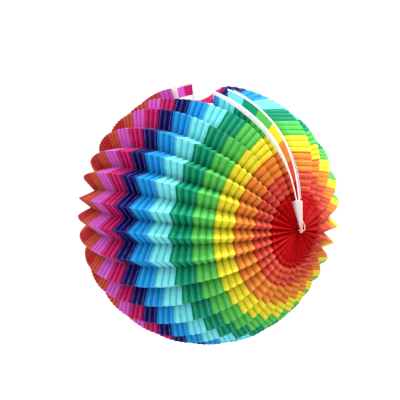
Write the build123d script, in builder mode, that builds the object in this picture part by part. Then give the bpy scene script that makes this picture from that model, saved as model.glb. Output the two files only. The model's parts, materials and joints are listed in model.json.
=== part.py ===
from build123d import *
import os
from math import asin, cos, degrees, pi, radians, sin, tan

# Concertina paper ball lantern, in millimetres and degrees.
#
# The shell is one sheet of paper, folded into grooves that run from pole to
# pole like the segments of an orange. The pole axis is X, with the red pole
# at +X. The two ends of the sheet are glued to half-moon cards, which meet at
# the seam on top (+Z). Angles "about the axis" start at the seam and grow
# towards -Y; "polar" angles are measured at the centre, from the +X pole.

# Driving dimensions
ball_radius = 125.0         # centre to the outer fold of a pleat
pleat_depth = 14.0          # outer fold to the bottom of the groove
groove_count = 28
seam_half_angle = 4.85      # each card stands this far from the top
front_fold_count = 13       # folds in front, from the front card downwards
first_front_pitch = 9.0     # the groove beside the front card is narrower
front_pitch = 11.46
front_sway = 2.6            # how far the lower folds have crept forwards
sway_length = 31.0          # folds over which they creep forwards and back
fold_wander = 0.6           # unevenness of a ball that was opened by hand
wander_step = 2.3           # radians from one fold's unevenness to the next
rear_fold_angles = (31.0, 42.5, 58.5, 74.5, 88.0, 103.5)    # from the seam backwards
pole_radius = 110.6         # centre to the gathered folds at each pole
pole_groove_depth = 2.0
dimple_reach = 50.0         # polar angle where the folds start to dip
sheet_drop = 0.45           # sheet thickness, measured towards the centre
body_gap = 0.3              # play between neighbouring pleats
gather_radius = 4.2         # the pleats end this far from the axis
station_count = 20          # straight steps along each fold

opening_center_x = 5.3
opening_half_length = 22.8
opening_floor_radius = 108.0
opening_cut_bottom = 102.0  # the paper is cut away between these heights
opening_cut_top = 140.0
opening_cut_width = 28.0    # from the front fold beside the opening towards the seam

card_thickness = 0.5
front_card_radius = 127.5
rear_card_radius = 125.6
card_pole_radius = 112.0
card_edge_steps = 36
card_inner_radius = 100.0
tip_inner_x = 106.0
tip_inner_angle = 20.0
front_tip_radius = 2.4      # gap from the axis to the front card's tips
rear_tip_radius = 8.0
tab_inner_x = 108.0         # the front card's tips carry tabs that stand proud
tab_pole_x = 113.5
tab_outer_x = 117.4
tab_height = 28.6
glue_start_radius = 28.0    # the end face is glued from here outwards
end_face_thickness = 0.35
end_foot_angle = 1.2        # the end groove is this wide at its bottom
hanger_hole_radius = 2.0
hanger_hole_spacing = 54.0
hanger_hole_height = 105.0  # centre of the ball to the centre of a hole

thread_radius = 1.0
knot_radius = 2.1
knot_center_x = 111.6
thread_inner_x = 104.0

os.makedirs("parts", exist_ok=True)


def front_fold_angle(index):
    """Angle about the axis of one of the folds in front, counted from the front card."""
    even = seam_half_angle + first_front_pitch + front_pitch * (index - 1)
    sway = front_sway * sin(pi * index / sway_length) ** 2
    return even - sway + fold_wander * sin(wander_step * index)


def fold_angle(index):
    """Angle about the axis of one outer fold; 0 and groove_count are the cards."""
    from_rear = groove_count - index
    if index == 0:
        return seam_half_angle
    if from_rear == 0:
        return 360 - seam_half_angle
    if from_rear <= len(rear_fold_angles):
        return 360 - rear_fold_angles[from_rear - 1]
    if index <= front_fold_count:
        return front_fold_angle(index)
    first = front_fold_angle(front_fold_count)
    last = 360 - rear_fold_angles[-1]
    spread = groove_count - len(rear_fold_angles) - front_fold_count
    return first + (last - first) * (index - front_fold_count) / spread


def groove_angle(index):
    """Angle about the axis of the groove between folds index and index + 1."""
    if index == 0:
        return seam_half_angle + end_foot_angle
    if index == groove_count - 1:
        return 360 - seam_half_angle - end_foot_angle
    return (fold_angle(index) + fold_angle(index + 1)) / 2


def dipped_radius(polar_angle, full_radius, radius_at_pole):
    """Distance from the centre along a fold that dips towards both poles."""
    from_pole = min(polar_angle, 180 - polar_angle)
    if from_pole >= dimple_reach:
        return full_radius
    dip = cos(radians(90 * from_pole / dimple_reach)) ** 2
    return full_radius - (full_radius - radius_at_pole) * dip


def outer_radius(polar_angle):
    return dipped_radius(polar_angle, ball_radius, pole_radius)


def groove_radius(polar_angle):
    return dipped_radius(polar_angle, ball_radius - pleat_depth, pole_radius - pole_groove_depth)


def section_plane(about_axis, polar_angle):
    """Plane through the centre and across a fold: x runs outwards, y around the axis."""
    turn = radians(about_axis)
    tilt = radians(polar_angle)
    outwards = (cos(tilt), -sin(tilt) * sin(turn), sin(tilt) * cos(turn))
    along_fold = (sin(tilt), cos(tilt) * sin(turn), -cos(tilt) * cos(turn))
    return Plane(origin=(0, 0, 0), x_dir=outwards, z_dir=along_fold)


def meridian_plane(about_axis):
    """Plane through the axis: x is the axis and y points outwards."""
    turn = radians(about_axis)
    return Plane(origin=(0, 0, 0), x_dir=(1, 0, 0), z_dir=(0, -cos(turn), -sin(turn)))


def stations(start_radius):
    """Polar angles from pole to pole, starting start_radius from the axis."""
    first = degrees(asin(start_radius / pole_radius))
    step = (180 - 2 * first) / station_count
    return [first + step * index for index in range(station_count + 1)]


def pleat_section(polar_angle, angle_before, angle_after):
    """Corners of a roof-shaped strip: groove, outer fold, groove and back inside."""
    fold = outer_radius(polar_angle)
    groove = groove_radius(polar_angle)
    across = sin(radians(polar_angle))

    def half_width(radius, angle):
        return radius * across * tan(radians(angle)) - body_gap / 2

    return [
        (groove, -half_width(groove, angle_before)),
        (fold, 0),
        (groove, half_width(groove, angle_after)),
        (groove - sheet_drop, half_width(groove - sheet_drop, angle_after)),
        (fold - sheet_drop, 0),
        (groove - sheet_drop, -half_width(groove - sheet_drop, angle_before)),
    ]


def make_pleat(index):
    """One pleat: an outer fold and the two faces beside it."""
    turn = fold_angle(index)
    before = turn - groove_angle(index - 1)
    after = groove_angle(index) - turn
    with BuildPart() as pleat:
        for polar_angle in stations(gather_radius):
            with BuildSketch(section_plane(turn, polar_angle)):
                with BuildLine():
                    Polyline(*pleat_section(polar_angle, before, after), close=True)
                make_face()
        loft(ruled=True)
        if index == 1:
            cut_opening(turn)
    return pleat.part


def cut_opening(turn):
    """Remove the part of the first pleat between its fold and the seam at the opening."""
    across_fold = Plane(
        origin=(opening_center_x, 0, 0),
        x_dir=(1, 0, 0),
        z_dir=(0, -sin(radians(turn)), cos(radians(turn))),
    )
    with BuildSketch(across_fold.offset(opening_cut_bottom), mode=Mode.PRIVATE) as opening:
        with Locations((0, opening_cut_width / 2)):
            Rectangle(2 * opening_half_length, opening_cut_width)
    extrude(opening.sketch, amount=opening_cut_top - opening_cut_bottom, mode=Mode.SUBTRACT)


def make_end_face(turn, side):
    """The first or last half pleat, lying on its card, in two lengths beside the opening."""
    with BuildPart() as face:
        for polar_angle in stations(glue_start_radius):
            fold = outer_radius(polar_angle)
            groove = groove_radius(polar_angle)
            with BuildSketch(section_plane(turn, polar_angle)):
                with BuildLine():
                    Polyline(
                        (groove, 0),
                        (fold, 0),
                        (fold, side * end_face_thickness),
                        (groove, side * end_face_thickness),
                        close=True,
                    )
                make_face()
        loft(ruled=True)
        cut_height = opening_cut_top - opening_cut_bottom
        with Locations((opening_center_x, 0, opening_cut_bottom + cut_height / 2)):
            Box(2 * opening_half_length, 2 * opening_cut_width, cut_height, mode=Mode.SUBTRACT)
    return face.part


def card_edge(full_radius, tip_radius):
    """Points along a card's outer edge, from its +X tip to its -X tip."""
    first = degrees(asin(tip_radius / card_pole_radius))
    step = (180 - 2 * first) / card_edge_steps
    points = []
    for index in range(card_edge_steps + 1):
        polar_angle = first + step * index
        reach = dipped_radius(polar_angle, full_radius, card_pole_radius)
        points.append((reach * cos(radians(polar_angle)), reach * sin(radians(polar_angle))))
    return points


def tab_corners(pole_side, tip_radius):
    """Corners of the tab at one tip of a card."""
    corners = [
        (tab_inner_x, tip_radius),
        (tab_pole_x, tip_radius),
        (tab_outer_x, tab_height),
        (tab_inner_x, tab_height),
    ]
    return [(pole_side * x, height) for x, height in corners]


def make_card(turn, side, full_radius, tip_radius, tab_sides):
    """Half-moon end card, with a notch at the opening and two hanger holes."""
    inner = radians(tip_inner_angle)
    inner_x = card_inner_radius * cos(inner)
    inner_height = card_inner_radius * sin(inner)
    edge = card_edge(full_radius, tip_radius)
    with BuildPart() as card:
        with BuildSketch(meridian_plane(turn)):
            with BuildLine():
                Spline(*edge)
                Line(edge[-1], (-tip_inner_x, tip_radius))
                Line((-tip_inner_x, tip_radius), (-inner_x, inner_height))
                ThreePointArc(
                    (-inner_x, inner_height), (0, card_inner_radius), (inner_x, inner_height)
                )
                Line((inner_x, inner_height), (tip_inner_x, tip_radius))
                Line((tip_inner_x, tip_radius), edge[0])
            make_face()
            for pole_side in tab_sides:
                with BuildLine():
                    Polyline(*tab_corners(pole_side, tip_radius), close=True)
                make_face()
            notch_height = opening_cut_top - opening_floor_radius
            with Locations((opening_center_x, opening_floor_radius + notch_height / 2)):
                Rectangle(2 * opening_half_length, notch_height, mode=Mode.SUBTRACT)
            for offset in (-hanger_hole_spacing / 2, hanger_hole_spacing / 2):
                hole_x = opening_center_x + offset
                hole_height = (hanger_hole_height**2 - hole_x**2) ** 0.5
                with Locations((hole_x, hole_height)):
                    Circle(hanger_hole_radius, mode=Mode.SUBTRACT)
        extrude(amount=side * card_thickness)
    return card.part


def make_thread(pole_side):
    """Thread that gathers the pleats at a pole, with its knot outside."""
    with BuildPart() as thread:
        with BuildSketch(Plane.XY):
            with BuildLine():
                Polyline(
                    (thread_inner_x, 0),
                    (knot_center_x, 0),
                    (knot_center_x, thread_radius),
                    (thread_inner_x, thread_radius),
                    close=True,
                )
            make_face()
            with BuildLine():
                Line((knot_center_x - knot_radius, 0), (knot_center_x + knot_radius, 0))
                ThreePointArc(
                    (knot_center_x + knot_radius, 0),
                    (knot_center_x, knot_radius),
                    (knot_center_x - knot_radius, 0),
                )
            make_face()
        revolve(axis=Axis.X)
        if pole_side < 0:
            mirror(about=Plane.YZ, mode=Mode.REPLACE)
    return thread.part


def save(part, name):
    part.label = name
    export_step(part, f"parts/{name}.step")


for number in range(1, groove_count):
    save(make_pleat(number), f"pleat_{number:02d}")

save(make_end_face(fold_angle(0), side=1), "front_end_face")
save(make_end_face(fold_angle(groove_count), side=-1), "rear_end_face")
save(
    make_card(fold_angle(0), -1, front_card_radius, front_tip_radius, tab_sides=(1, -1)),
    "front_card",
)
save(
    make_card(fold_angle(groove_count), 1, rear_card_radius, rear_tip_radius, tab_sides=()),
    "rear_card",
)
save(make_thread(pole_side=1), "right_pole_thread")
save(make_thread(pole_side=-1), "left_pole_thread")
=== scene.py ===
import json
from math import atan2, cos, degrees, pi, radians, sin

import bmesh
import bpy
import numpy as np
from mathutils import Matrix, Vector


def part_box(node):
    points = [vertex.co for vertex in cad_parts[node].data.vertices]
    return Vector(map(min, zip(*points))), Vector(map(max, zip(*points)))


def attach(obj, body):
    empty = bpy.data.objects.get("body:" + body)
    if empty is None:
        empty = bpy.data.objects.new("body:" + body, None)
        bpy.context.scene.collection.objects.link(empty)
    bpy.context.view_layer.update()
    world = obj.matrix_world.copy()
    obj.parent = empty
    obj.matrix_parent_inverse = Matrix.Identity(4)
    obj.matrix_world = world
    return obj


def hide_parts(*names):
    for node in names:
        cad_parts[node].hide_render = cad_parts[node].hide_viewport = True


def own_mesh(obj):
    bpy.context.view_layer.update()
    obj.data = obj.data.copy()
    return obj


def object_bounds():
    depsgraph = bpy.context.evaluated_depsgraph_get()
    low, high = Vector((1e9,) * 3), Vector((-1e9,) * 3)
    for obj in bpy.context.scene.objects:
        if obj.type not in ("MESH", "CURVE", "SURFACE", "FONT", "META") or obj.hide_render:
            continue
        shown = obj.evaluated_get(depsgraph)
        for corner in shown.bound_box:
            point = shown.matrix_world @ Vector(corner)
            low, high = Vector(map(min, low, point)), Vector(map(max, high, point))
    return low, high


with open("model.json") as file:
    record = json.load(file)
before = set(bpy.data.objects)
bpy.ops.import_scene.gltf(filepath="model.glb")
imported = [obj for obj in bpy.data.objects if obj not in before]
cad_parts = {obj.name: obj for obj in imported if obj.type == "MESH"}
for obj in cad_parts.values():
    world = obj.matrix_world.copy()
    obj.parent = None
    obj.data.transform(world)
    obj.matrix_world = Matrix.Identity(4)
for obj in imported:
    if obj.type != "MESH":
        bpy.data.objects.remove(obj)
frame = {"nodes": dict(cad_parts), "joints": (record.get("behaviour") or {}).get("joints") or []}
cad_low, cad_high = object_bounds()

# Looks of a concertina paper ball lantern, in metres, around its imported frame.
#
# The pole axis is X, with the red pole at +X. Angles "about the axis" start at the
# seam on top (+Z) and grow towards -Y. "Polar" angles are measured at the centre,
# from the +X pole. All angles are in degrees. Every pleat is one roof-shaped strip of
# the printed sheet, from the bottom of a groove over an outer fold to the bottom of
# the next groove. Across a pleat, "share" runs from -1 over 0 at the fold to 1.

MM = 0.001
pleat_count = sum(name.startswith("pleat_") for name in frame["nodes"])

# The folded sheet
pleat_depth = 14 * MM
pole_radius = 110.6 * MM        # centre to the gathered folds at each pole
pole_groove_depth = 2 * MM
dimple_reach = 50.0             # polar angle where the folds start to dip
gather_radius = 1.6 * MM        # the pleats end this far from the axis
folded_share = 0.015            # width of a pleat when shut, as a share of its open width
sheet_drop = 0.25 * MM          # sheet thickness, measured towards the centre
fold_roundness = 0.035          # as a share of the way from the fold to the groove
across_steps = np.array([0, 0.025, 0.07, 0.16, 0.3, 0.46, 0.62, 0.78, 0.91, 1.0])

# The crimps across every fold
crimp_angle = 3.0               # polar angle from one crimp to the next
crimp_height = 1.45 * MM        # at the bottom of a groove
crimp_at_fold = 0.22            # their height along the fold, as a share of that
crimp_at_pole = 0.12            # and at the poles
crimp_unevenness = 0.3
crimp_fade_start = 11.0         # angle from the pole where they begin to grow
crimp_fade_width = 9.0
steps_per_crimp = 6

# How uneven the folds are
wander_angle = 0.42
wander_height = 0.45 * MM
# Slack places along the first and last fold and face: how much, and the middle and
# the reach of the place as polar angles
first_fold_bow = (4.0, 50, 22)
last_fold_bow = (14.0, 92, 16)
first_fold_drop = (2.6 * MM, 92, 16)
last_fold_dent = (13 * MM, 103, 8.5)
last_face_dent = (6 * MM, 90, 14)
last_face_pull = 0.6            # share of a groove's depth by which that face is pulled flat
last_face_slack = (1.0, 92, 22)     # where it isn't
# The sag of the ball, behind and towards the red pole, and underneath
side_sag = (7 * MM, 212, 42)    # how much, and where as angles about the axis
side_sag_polar = (1.0, 50, 35)
lower_sag = (2 * MM, 158, 30)

# The light opening on top: polar angles of its ends
opening_start = 75.0
opening_end = 99.5

# The glued half pleats on the end cards
strip_end_angle = 14.0          # they end this far from the poles
strip_lift = 0.45 * MM          # their outer side above the card
strip_crimp_height = 0.55 * MM
strip_foot = 0.5 * MM           # above the bottom of the end groove
strip_rise = 2.0 * MM           # above the line of the folds
strip_bare = 2.6 * MM           # less where the card's edge is left bare

# The printed edge of the rear card
rear_card_radius = 125.6 * MM
rear_card_pole_radius = 112 * MM
bare_edge = 1.2 * MM            # white edge outside the printed strip
edge_print_depth = 9 * MM
edge_print_shift = 4.0          # polar angle by which its bands are off the sheet's

# The threads at the poles
winding_turns = 5
winding_reach = 0.75 * MM       # axis to the middle of the thread, inside the folds
collar_reach = 1.55 * MM        # and where it comes out of them
collar_start = 0.75             # as a share of the winding's length
winding_thread = 0.5 * MM       # radius of the thread
knot_middle = 1.7 * MM          # from its outer end
knot_reach = 1.25 * MM
knot_bulge = 0.4 * MM
knot_thickness = 0.55 * MM
knot_thread = 0.6 * MM
loop_size = np.array([0.9, 2.1, 4.4]) * MM
loop_start = np.array([0.6, 0, 0.4]) * MM       # from the knot's outer end
loop_thread = 0.45 * MM

# One repeat of the printed bands from the red pole, as how many bands wide it is and
# its linear colour
band_angle = 9.0
band_repeat = [
    (2, (0.46, 0.0, 0.002)),        # red
    (1, (0.66, 0.07, 0.035)),       # coral
    (1, (0.78, 0.25, 0.03)),        # orange
    (1, (0.84, 0.74, 0.03)),        # yellow
    (1, (0.10, 0.56, 0.10)),        # light green
    (1, (0.0, 0.30, 0.155)),        # teal
    (1, (0.19, 0.78, 0.84)),        # aqua
    (1, (0.004, 0.30, 0.72)),       # azure
    (1, (0.003, 0.0, 0.12)),        # navy
    (1, (0.50, 0.0, 0.12)),         # magenta
    (1, (0.62, 0.09, 0.52)),        # orchid
    (1, (0.52, 0.06, 0.025)),       # orange red
]
light_through = 0.15            # share of light that the sheet lets through


# ---------------------------------------------------------------- layout from the frame

def about_axis(point):
    """Angle about the axis of a point, from 0 at the seam to 360."""
    return degrees(atan2(-point[1], point[2])) % 360


def farthest_vertex(node):
    return max((v.co for v in frame["nodes"][node].data.vertices), key=lambda co: co.length)


def fold_layout():
    """Radius of the outer folds, their angles, and the angles of the grooves between them."""
    limits = {joint["child"]: joint["range_deg"][1] for joint in frame["joints"]}
    shut = [0.0] + [limits[f"pleat_{k:02d}"] for k in range(1, pleat_count + 1)]
    shut.append(limits["rear_end"])
    steps = np.diff(shut) / (1 - folded_share)
    first_fold = farthest_vertex("pleat_01")
    folds = about_axis(first_fold) + np.concatenate([[-steps[0], 0], np.cumsum(steps[1:])])
    grooves = [folds[0]]
    grooves += [(folds[k] + folds[k + 1]) / 2 for k in range(1, pleat_count)]
    grooves.append(folds[-1])
    return first_fold.length, folds, grooves


ball_radius, fold_angles, groove_angles = fold_layout()


# ---------------------------------------------------------------- the shape of the sheet

def ramp(value, start, width):
    """0 up to start, and 1 from start + width on."""
    return np.clip((value - start) / width, 0, 1)


def bump(angle, size, middle, reach):
    """A smooth rise to size at a middle angle, mostly gone past reach to each side."""
    return size * np.exp(-((angle - middle) / reach) ** 2)


def dipped_radius(polar, full_radius, radius_at_pole):
    """Distance from the centre along a fold that dips towards both poles."""
    from_pole = np.minimum(polar, 180 - polar)
    dip = np.cos(np.radians(90 * np.minimum(from_pole / dimple_reach, 1))) ** 2
    return full_radius - (full_radius - radius_at_pole) * dip


def fold_radius(polar):
    return dipped_radius(polar, ball_radius, pole_radius)


def groove_radius(polar):
    return dipped_radius(polar, ball_radius - pleat_depth, pole_radius - pole_groove_depth)


def unevenness(about, polar, seed):
    """A smooth wave between about -1 and 1 that differs from fold to fold."""
    a, p = np.radians(about), np.radians(polar)
    return (
        0.5 * np.sin(3 * p + 17 * a + seed)
        + 0.3 * np.sin(7 * p - 23 * a + 2 * seed)
        + 0.2 * np.sin(13 * p + 11 * a + 3 * seed)
    )


def line_wander(about, polar):
    """How far a fold line strays from its own angle; the ends of the sheet are straight."""
    on_first = np.isclose(about, fold_angles[1])
    on_last = np.isclose(about, fold_angles[-2])
    calm = np.sin(np.radians(about / 2)) ** 0.5
    stray = wander_angle * calm * unevenness(about, polar, 1.0)
    return stray - on_first * bump(polar, *first_fold_bow) + on_last * bump(polar, *last_fold_bow)


def line_lift(about, polar):
    """How far a fold line rises and falls along its length."""
    on_first = np.isclose(about, fold_angles[1])
    on_last = np.isclose(about, fold_angles[-2])
    lift = wander_height * unevenness(about, polar, 4.0)
    lift = lift - bump(about, *side_sag) * bump(polar, *side_sag_polar) - bump(about, *lower_sag)
    return lift - on_first * bump(polar, *first_fold_drop) - on_last * bump(polar, *last_fold_dent)


def crimp_wave(polar):
    """Triangle wave between -1 and 1, three to a band, that fades out at the poles."""
    phase = (polar / crimp_angle) % 1.0
    from_pole = np.minimum(polar, 180 - polar)
    fade = np.maximum(ramp(from_pole, crimp_fade_start, crimp_fade_width), crimp_at_pole)
    return (1 - 4 * np.abs(phase - 0.5)) * fade


def crimp_lift(about, polar, from_fold):
    """Radial height of the crimps: low along the fold and highest in the groove."""
    strength = crimp_at_fold + (1 - crimp_at_fold) * np.sqrt(np.clip(from_fold, 0, 1))
    swell = 1 + crimp_unevenness * unevenness(about, polar, 2.0)
    return crimp_height * crimp_wave(polar) * strength * swell


def line_point(offset, radius, polar):
    """Points at an angle offset about the axis, as (along the axis, outwards, around)."""
    p, o = np.radians(polar), np.radians(offset)
    return np.stack([radius * np.cos(p), radius * np.sin(p) * np.cos(o),
                     radius * np.sin(p) * np.sin(o)], axis=-1)


def to_frame(points, turn):
    """(along the axis, outwards, around) at the angle turn to row frame coordinates."""
    s, c = sin(radians(turn)), cos(radians(turn))
    along, out, around = points[..., 0], points[..., 1], points[..., 2]
    return np.stack([along, -out * s - around * c, out * c - around * s], axis=-1)


def polar_steps():
    """Polar angles of the rows of points, from pole to pole, with one at every crease."""
    first = degrees(gather_radius / pole_radius)
    step = crimp_angle / steps_per_crimp
    inner = np.arange(np.ceil(first / step + 0.2) * step, 180 - first, step)
    return np.concatenate([[first], inner, [180 - first]])


def pleat_surface(index):
    """Outer side of one pleat as a grid of points, with its polar angles and shares."""
    turn = fold_angles[index]
    polar = polar_steps()[:, None]
    share = np.concatenate([-across_steps[:0:-1], across_steps])[None, :]
    from_fold = np.abs(share)
    groove = np.where(share < 0, groove_angles[index - 1], groove_angles[index])
    about = turn + (groove - turn) * from_fold
    crimp = crimp_lift(about, polar, from_fold)
    fold = line_point(line_wander(turn, polar),
                      fold_radius(polar) + line_lift(turn, polar) + crimp, polar)
    bottom_radius = groove_radius(polar) + line_lift(groove, polar)
    if index == pleat_count:
        # the wide face beside the seam is pulled almost flat, except at the opening
        beside_seam = share > 0
        flat = last_face_pull * beside_seam * (1 - bump(polar, *last_face_slack))
        bottom_radius = bottom_radius + flat * (fold_radius(polar) - groove_radius(polar))
        bottom_radius = bottom_radius - beside_seam * bump(polar, *last_face_dent)
    bottom = line_point(groove - turn + line_wander(groove, polar), bottom_radius + crimp, polar)
    rounded = np.sqrt(from_fold**2 + fold_roundness**2) - fold_roundness
    rounded = rounded / rounded.max()
    weight = np.stack([rounded, rounded, from_fold], axis=-1)
    points = to_frame(fold * (1 - weight) + bottom * weight, turn)
    shape = points.shape[:2]
    return points, np.broadcast_to(polar, shape), np.broadcast_to(share, shape)


# ---------------------------------------------------------------- meshes

def grid_faces(rows, columns):
    corner = (np.arange(rows - 1)[:, None] * columns + np.arange(columns - 1)[None, :]).ravel()
    return np.stack([corner, corner + columns, corner + columns + 1, corner + 1], axis=-1)


def thickened(points, faces, towards=None):
    """A closed sheet: the given outer side, an inner side and a rim.

    The inner side lies nearer the centre, or in the direction towards.
    """
    count = len(points)
    if towards is None:
        inner = points * (1 - sheet_drop / np.linalg.norm(points, axis=1, keepdims=True))
    else:
        inner = points + np.array(towards) * sheet_drop
    edges = np.concatenate([faces[:, [k, (k + 1) % 4]] for k in range(4)])
    keys = np.sort(edges, axis=1) @ np.array([count, 1])
    _, first, times = np.unique(keys, return_index=True, return_counts=True)
    start, end = edges[first[times == 1]].T
    rim = np.stack([end, start, start + count, end + count], axis=-1)
    return np.concatenate([points, inner]), np.concatenate([faces, faces[:, ::-1] + count, rim])


def new_mesh_object(name, points, faces):
    mesh = bpy.data.meshes.new(name)
    mesh.from_pydata(points.tolist(), [], faces.tolist())
    mesh.validate()
    piece = bpy.data.objects.new(name, mesh)
    bpy.context.scene.collection.objects.link(piece)
    return piece


def store(piece, name, values):
    attribute = piece.data.attributes.new(name, "FLOAT", "POINT")
    attribute.data.foreach_set("value", np.asarray(values, np.float32))


def sheet_piece(name, points, polar, share, materials, kept=None, towards=None):
    """A closed strip of the sheet, printed outside and white inside."""
    rows, columns = points.shape[:2]
    faces = grid_faces(rows, columns)
    used = np.arange(rows * columns)
    if kept is not None:
        faces = faces[kept.ravel()[faces].all(axis=1)]
        used, faces = np.unique(faces, return_inverse=True)
        faces = faces.reshape(-1, 4)
    outer_count = len(faces)
    corners, faces = thickened(points.reshape(-1, 3)[used], faces, towards)
    piece = new_mesh_object(name, corners, faces)
    for material in materials:
        piece.data.materials.append(material)
    material_index = np.ones(len(faces), np.int32)
    material_index[:outer_count] = 0
    piece.data.polygons.foreach_set("material_index", material_index)
    store(piece, "polar", np.tile(polar.ravel()[used], 2))
    store(piece, "from_fold", np.tile(np.abs(share).ravel()[used], 2))
    store(piece, "crimp", np.tile(crimp_wave(polar).ravel()[used], 2))
    return piece


# ---------------------------------------------------------------- materials

class Shader:
    """A node material, built up by adding nodes with their inputs."""

    def __init__(self, name):
        self.material = bpy.data.materials.new(name)
        self.material.use_nodes = True
        self.tree = self.material.node_tree
        self.tree.nodes.clear()

    def set_input(self, socket, value):
        if isinstance(value, bpy.types.NodeSocket):
            self.tree.links.new(value, socket)
        else:
            socket.default_value = value

    def add(self, kind, settings=None, **inputs):
        """Add a node. An input goes by its name, with _ for a space, or as _0, _1 by its place."""
        node = self.tree.nodes.new("ShaderNode" + kind)
        for key, value in (settings or {}).items():
            setattr(node, key, value)
        for key, value in inputs.items():
            place = int(key[1:]) if key[0] == "_" else key.replace("_", " ")
            self.set_input(node.inputs[place], value)
        return node

    def attribute(self, name):
        return self.add("Attribute", {"attribute_name": name}).outputs["Fac"]

    def place(self):
        return self.add("TexCoord").outputs["Object"]

    def math(self, operation, a, b=0.0, c=0.0):
        return self.add("Math", {"operation": operation}, _0=a, _1=b, _2=c).outputs[0]

    def noise(self, scale, detail=3.0):
        return self.add("TexNoise", Vector=self.place(), Scale=scale, Detail=detail).outputs["Fac"]

    def span(self, value, low, high, to_low, to_high):
        return self.add("MapRange", Value=value, From_Min=low, From_Max=high,
                        To_Min=to_low, To_Max=to_high).outputs["Result"]

    def mottle(self, scale, detail, low, high):
        """Blotches between low and high."""
        return self.span(self.noise(scale, detail), 0.3, 0.7, low, high)

    def mix(self, share, a, b, blend="MIX"):
        node = self.add("Mix", {"data_type": "RGBA", "blend_type": blend}, _0=share, _6=a, _7=b)
        return node.outputs[2]

    def shaded(self, color, strength):
        """A colour times a grey strength."""
        grey = self.add("CombineColor", Red=strength, Green=strength, Blue=strength)
        return self.mix(1.0, color, grey.outputs[0], "MULTIPLY")

    def bumps(self, height, strength, distance, **normal):
        return self.add("Bump", Height=height, Strength=strength, Distance=distance,
                        **normal).outputs["Normal"]

    def surface(self, color, rough, normal, specular=None):
        face = self.add("BsdfPrincipled", Base_Color=color, Roughness=rough, Normal=normal)
        if specular is not None:
            face.inputs["Specular IOR Level"].default_value = specular
        return face.outputs[0]

    def sheet(self, face, glow_color):
        """A surface that also lets some light through."""
        glow = self.add("BsdfTranslucent", Color=glow_color).outputs[0]
        return self.add("MixShader", _0=light_through, _1=face, _2=glow).outputs[0]

    def finish(self, surface):
        output = self.add("OutputMaterial")
        self.tree.links.new(surface, output.inputs["Surface"])
        return self.material


def band_colors(shader, polar):
    """Colour of the printed bands at a polar angle, with slightly rough edges."""
    strayed = shader.math("MULTIPLY_ADD", shader.noise(900, 2), 0.5, polar)
    share = shader.math("DIVIDE", shader.math("SUBTRACT", strayed, 0.25), 180.0)
    node = shader.add("ValToRGB", Fac=share)
    node.color_ramp.interpolation = "CONSTANT"
    stops = node.color_ramp.elements
    at = 0.0
    count = 0
    while at < 180:
        bands, color = band_repeat[count % len(band_repeat)]
        stop = stops[count] if count < 2 else stops.new(at / 180)
        stop.position = at / 180
        stop.color = (*color, 1)
        at += bands * band_angle
        count += 1
    return node.outputs["Color"]


def paper_normal(shader):
    """Paper fibres and soft wrinkles."""
    fibres = shader.bumps(shader.noise(2600, 4), 0.25, 0.08 * MM)
    return shader.bumps(shader.noise(140, 3), 0.35, 0.4 * MM, Normal=fibres)


def printed_paper():
    """The printed side: painted shade in the crimp valleys and towards the bottoms of the grooves,
    paler on the crimp crests from worn ink and a painted highlight, and worn pale along the folds.
    """
    shader = Shader("printed_paper")
    from_fold = shader.attribute("from_fold")
    crimp = shader.attribute("crimp")
    ink = band_colors(shader, shader.attribute("polar"))
    ink = shader.shaded(ink, shader.mottle(170, 5, 0.90, 1.08))
    # painted shade, darker in the valleys of the crimps
    ink = shader.shaded(ink, shader.span(crimp, -1.0, -0.3, 0.5, 1.0))
    # painted shade, darker towards the bottom of each groove
    ink = shader.shaded(ink, shader.span(from_fold, 0.6, 1.0, 1.0, 0.72))
    # paler on the crimp crests, partly worn ink and partly a painted highlight; paler along the
    # folds, where the ink is worn
    crest = shader.math("MULTIPLY", shader.span(crimp, 0.35, 1.0, 0.0, 1.0),
                        shader.span(shader.noise(260, 3), 0.3, 0.75, 0.06, 0.30))
    fold = shader.math("MULTIPLY", shader.span(from_fold, 0.0, 0.03, 1.0, 0.0),
                       shader.span(shader.noise(900, 4), 0.42, 0.8, 0.0, 0.35))
    worn_and_highlit = shader.math("MAXIMUM", crest, fold)
    ink = shader.mix(worn_and_highlit, ink, shader.mix(0.5, ink, (0.95, 0.93, 0.93, 1)))
    face = shader.surface(ink, shader.mottle(400, 3, 0.42, 0.56), paper_normal(shader), 0.07)
    return shader.finish(shader.sheet(face, ink))


def white_reverse():
    """The unprinted side of the sheet, with the bands faintly showing through."""
    shader = Shader("white_reverse")
    ink = band_colors(shader, shader.attribute("polar"))
    paper = shader.mix(shader.mottle(300, 4, 0.05, 0.13), (0.86, 0.85, 0.82, 1), ink)
    face = shader.surface(paper, shader.mottle(400, 3, 0.65, 0.8), paper_normal(shader))
    return shader.finish(shader.sheet(face, shader.mix(0.6, paper, ink)))


def place_polar(shader):
    """Polar angle and distance from the centre of a place on a card."""
    x, y, z = shader.add("SeparateXYZ", Vector=shader.place()).outputs
    squares = shader.math("ADD", shader.math("MULTIPLY", y, y), shader.math("MULTIPLY", z, z))
    across = shader.math("SQRT", squares)
    angle = shader.math("DEGREES", shader.math("ARCTAN2", across, x))
    distance = shader.math("SQRT", shader.math("ADD", squares, shader.math("MULTIPLY", x, x)))
    return angle, distance


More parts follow.
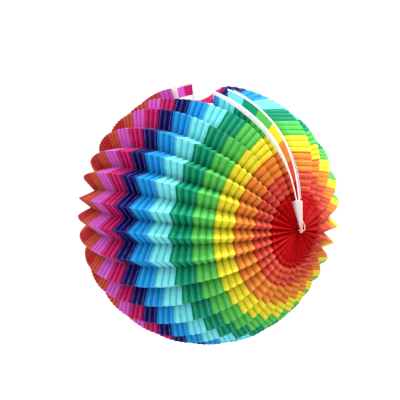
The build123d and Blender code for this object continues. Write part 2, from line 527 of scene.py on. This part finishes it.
def edge_print(shader, surface, angle, distance):
    """Add the strip of printed sheet that shows beside the rear card's edge."""
    # the edge dips towards the poles as the folds do
    from_pole = shader.math("MINIMUM", angle, shader.math("SUBTRACT", 180.0, angle))
    share = shader.math("MINIMUM", shader.math("DIVIDE", from_pole, dimple_reach), 1.0)
    wave = shader.math("COSINE", shader.math("MULTIPLY", share, pi / 2))
    dip = shader.math("MULTIPLY", shader.math("MULTIPLY", wave, wave),
                      rear_card_radius - rear_card_pole_radius)
    depth = shader.math("SUBTRACT", shader.math("SUBTRACT", rear_card_radius, dip), distance)
    rough_end = shader.math("MULTIPLY_ADD", shader.noise(300, 2), MM, edge_print_depth)
    # the white edge stops at the opening
    bare = shader.span(angle, 80.0, 92.0, bare_edge, -3 * MM)
    printed = shader.math("MULTIPLY", shader.math("LESS_THAN", depth, rough_end),
                          shader.math("GREATER_THAN", depth, bare))
    ink = band_colors(shader, shader.math("SUBTRACT", angle, edge_print_shift))
    return shader.mix(printed, surface, ink)


def white_card(name, has_print):
    """Uncoated card with faint marks of the crimps."""
    shader = Shader(name)
    angle, distance = place_polar(shader)
    surface = shader.mix(shader.mottle(520, 5, 0.0, 1.0), (0.93, 0.90, 0.91, 1),
                         (0.99, 0.98, 0.98, 1))
    ribs = shader.math("PINGPONG", angle, crimp_angle / 2)
    marks = shader.math("MULTIPLY", shader.span(ribs, 1.05, 1.5, 0.0, 1.0),
                        shader.span(shader.noise(240, 3), 0.4, 0.8, 0.0, 0.55))
    surface = shader.mix(marks, surface, (0.62, 0.45, 0.60, 1))
    if has_print:
        surface = edge_print(shader, surface, angle, distance)
    rough = shader.mottle(400, 3, 0.62, 0.8)
    return shader.finish(shader.surface(surface, rough, paper_normal(shader), 0.2))


def waxed_thread():
    """Peach coloured cotton thread with its strands."""
    shader = Shader("waxed_thread")
    strands = shader.add("TexWave", {"bands_direction": "DIAGONAL"}, Vector=shader.place(),
                         Scale=900.0, Distortion=1.5).outputs["Fac"]
    color = shader.mix(strands, (0.62, 0.30, 0.20, 1), (0.92, 0.62, 0.46, 1))
    normal = shader.bumps(strands, 0.6, 0.2 * MM)
    return shader.finish(shader.surface(color, shader.mottle(900, 3, 0.5, 0.7), normal))


# ---------------------------------------------------------------- pieces

def around_direction(turn):
    """Direction in which the angle about the axis grows, at the angle turn."""
    return (0, -cos(radians(turn)), -sin(radians(turn)))


def beside_opening(polar):
    return (polar <= opening_start) | (polar >= opening_end)


def make_pleat(index, materials):
    """One pleat. The first is cut away from its fold to the seam at the opening."""
    points, polar, share = pleat_surface(index)
    kept = (share >= 0) | beside_opening(polar) if index == 1 else None
    piece = sheet_piece(f"paper_pleat_{index:02d}", points, polar, share, materials, kept)
    node = f"pleat_{index:02d}"
    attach(piece, node)
    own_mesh(piece)
    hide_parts(node)


def strip_edge(polar):
    """Outer edge of a glued half pleat. It ends lower from the red pole to the opening."""
    bare = ramp(polar, 26, 16) * ramp(-polar, -99, 2) * (1 - 0.6 * ramp(polar, 58, 16))
    return fold_radius(polar) + strip_rise - strip_bare * bare


def make_end_strip(name, turn, side, body, materials):
    """The glued first or last half pleat: side is 1 where it lies beyond its card."""
    polar = polar_steps()[:, None]
    polar = polar[(polar[:, 0] > strip_end_angle) & (polar[:, 0] < 180 - strip_end_angle)]
    rise = np.linspace(0, 1, 7)[None, :]
    low = groove_radius(polar) + strip_foot
    radius = low + (strip_edge(polar) - low) * rise
    crimp = strip_crimp_height * (0.5 + 0.5 * crimp_wave(polar)) * np.sin(np.pi * rise)
    p = np.radians(polar)
    points = np.stack([radius * np.cos(p), radius * np.sin(p), side * (strip_lift + crimp)],
                      axis=-1)
    points = to_frame(points, turn)
    shape = points.shape[:2]
    polar_all = np.broadcast_to(polar, shape)
    share = np.broadcast_to(1 - 0.8 * rise, shape)      # short of 0, where ink is worn pale along a fold; 1 at the foot, where the painted groove shade falls
    kept = beside_opening(polar_all)
    if side < 0:
        # the other way round, so that the faces look away from the card
        points, polar_all, share, kept = (g[::-1] for g in (points, polar_all, share, kept))
    towards = np.array(around_direction(turn)) * -side
    piece = sheet_piece(name + "_end_strip", points, polar_all, share, materials, kept, towards)
    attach(piece, body)
    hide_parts(name + "_end_face")


def add_tube(mesh, points, radius, sides=8):
    """Round tube along points, closed at both ends."""
    tangents = np.gradient(points, axis=0)
    tangents /= np.linalg.norm(tangents, axis=1, keepdims=True)
    first = np.cross(tangents, (1.0, 0.0, 0.0))
    first /= np.linalg.norm(first, axis=1, keepdims=True)
    second = np.cross(tangents, first)
    around = np.linspace(0, 2 * pi, sides, endpoint=False)[None, :, None]
    ring = first[:, None, :] * np.cos(around) + second[:, None, :] * np.sin(around)
    rings = points[:, None, :] + radius * ring
    rows = [[mesh.verts.new(tuple(corner)) for corner in ring] for ring in rings]
    for before, after in zip(rows, rows[1:]):
        for k in range(sides):
            n = (k + 1) % sides
            mesh.faces.new((before[k], before[n], after[n], after[k]))
    mesh.faces.new(rows[0][::-1])
    mesh.faces.new(rows[-1])


def winding_points(inner, outer):
    """Thread wound round the axis, inside the gathered folds and in a collar outside them."""
    steps = np.linspace(0, 1, 120)
    twist = 2 * pi * winding_turns * steps
    reach = np.where(steps < collar_start, winding_reach, collar_reach)
    return np.stack([inner + (outer - inner) * 0.9 * steps, reach * np.cos(twist),
                     reach * np.sin(twist)], axis=-1)


def knot_points(outer, pole_side):
    turns = np.linspace(0, 2 * pi, 60)
    reach = knot_reach + knot_bulge * np.sin(5 * turns)
    return np.stack([outer - pole_side * (knot_middle + knot_thickness * np.cos(5 * turns)),
                     reach * np.cos(2 * turns), reach * np.sin(2 * turns)], axis=-1)


def loop_points(outer, pole_side):
    """A small overhand loop of thread, from the knot out and back."""
    turns = np.linspace(0, 2 * pi, 25)
    loop = np.stack([np.sin(2 * turns), np.sin(turns), 1 - np.cos(turns)], axis=-1) * loop_size
    return (loop + loop_start) * (pole_side, 1, 1) + (outer, 0, 0)


def make_thread(name, pole_side, material):
    """Wound thread through the gathered folds, a knot outside and a loop of its end."""
    low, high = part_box(name)
    inner, outer = sorted((low.x, high.x), key=abs)
    mesh = bmesh.new()
    add_tube(mesh, winding_points(inner, outer), winding_thread)
    add_tube(mesh, knot_points(outer, pole_side), knot_thread)
    add_tube(mesh, loop_points(outer, pole_side), loop_thread)
    bmesh.ops.recalc_face_normals(mesh, faces=mesh.faces)
    data = bpy.data.meshes.new(name + "_knot")
    mesh.to_mesh(data)
    mesh.free()
    data.shade_smooth()
    data.materials.append(material)
    piece = bpy.data.objects.new(name + "_knot", data)
    bpy.context.scene.collection.objects.link(piece)
    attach(piece, "front_end")
    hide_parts(name)


def give_material(node, material):
    piece = frame["nodes"][node]
    if not piece.material_slots:
        piece.data.materials.append(material)
    for slot in piece.material_slots:
        slot.material = material


paper_materials = [printed_paper(), white_reverse()]
for number in range(1, pleat_count + 1):
    make_pleat(number, paper_materials)
make_end_strip("front", fold_angles[0], 1, "front_end", paper_materials)
make_end_strip("rear", fold_angles[-1], -1, "rear_end", paper_materials)
thread = waxed_thread()
make_thread("right_pole_thread", 1, thread)
make_thread("left_pole_thread", -1, thread)
give_material("front_card", white_card("front_card_paper", has_print=False))
give_material("rear_card", white_card("rear_card_paper", has_print=True))


# ---------------------------------------------------------------- stage

def view_rotation(azimuth, elevation, roll):
    """Way back to the camera, and its rotation: azimuth 0 looks along +Y; roll tips the picture."""
    a, e = radians(azimuth), radians(elevation)
    back = Vector((sin(a) * cos(e), -cos(a) * cos(e), sin(e)))
    return back, back.to_track_quat("Z", "Y").to_matrix() @ Matrix.Rotation(radians(roll), 3, "Z")


def make_camera(back, rotation):
    data = bpy.data.cameras.new("camera")
    data.lens = 106.2
    data.sensor_width = 36
    data.shift_x = -0.025
    data.shift_y = 0.04
    camera = bpy.data.objects.new("camera", data)
    camera.matrix_world = Matrix.Translation(back * 9 * ball_radius) @ rotation.to_4x4()
    bpy.context.scene.collection.objects.link(camera)
    bpy.context.scene.camera = camera


def make_softbox(place):
    """A round soft light at a place, aimed at the centre."""
    data = bpy.data.lights.new("key", "AREA")
    data.shape = "DISK"
    data.size = 0.6
    data.energy = 25
    lamp = bpy.data.objects.new("key", data)
    lamp.matrix_world = (Matrix.Translation(place)
                         @ place.to_track_quat("Z", "Y").to_matrix().to_4x4())
    bpy.context.scene.collection.objects.link(lamp)


def make_sky():
    """A white dome that is brighter overhead, as in a light tent."""
    world = bpy.data.worlds.new("studio")
    world.use_nodes = True
    nodes, links = world.node_tree.nodes, world.node_tree.links
    background = nodes["Background"]
    background.inputs["Color"].default_value = (1, 1, 1, 1)
    direction = nodes.new("ShaderNodeTexCoord")
    split = nodes.new("ShaderNodeSeparateXYZ")
    dome = nodes.new("ShaderNodeMapRange")
    dome.inputs["To Min"].default_value = 1.0
    dome.inputs["To Max"].default_value = 1.9
    links.new(direction.outputs["Generated"], split.inputs[0])
    links.new(split.outputs["Z"], dome.inputs["Value"])
    links.new(dome.outputs["Result"], background.inputs["Strength"])
    bpy.context.scene.world = world


def make_floor(height, half_width):
    sides = ((-1, -1), (1, -1), (1, 1), (-1, 1))
    corners = np.array([[half_width * x, half_width * y, height] for x, y in sides])
    floor = new_mesh_object("floor", corners, np.array([[0, 1, 2, 3]]))
    shader = Shader("pale_floor")
    face = shader.add("BsdfPrincipled", Base_Color=(0.62, 0.62, 0.62, 1), Roughness=0.9)
    floor.data.materials.append(shader.finish(face.outputs[0]))


back, rotation = view_rotation(azimuth=44.8, elevation=15.1, roll=-5.4)
make_camera(back, rotation)
make_softbox(back * 0.6 + rotation.col[0] * 0.9 + rotation.col[1] * 1.5)
make_sky()
make_floor(height=cad_low.z - 0.15, half_width=12)
bpy.context.scene.view_settings.view_transform = "Standard"
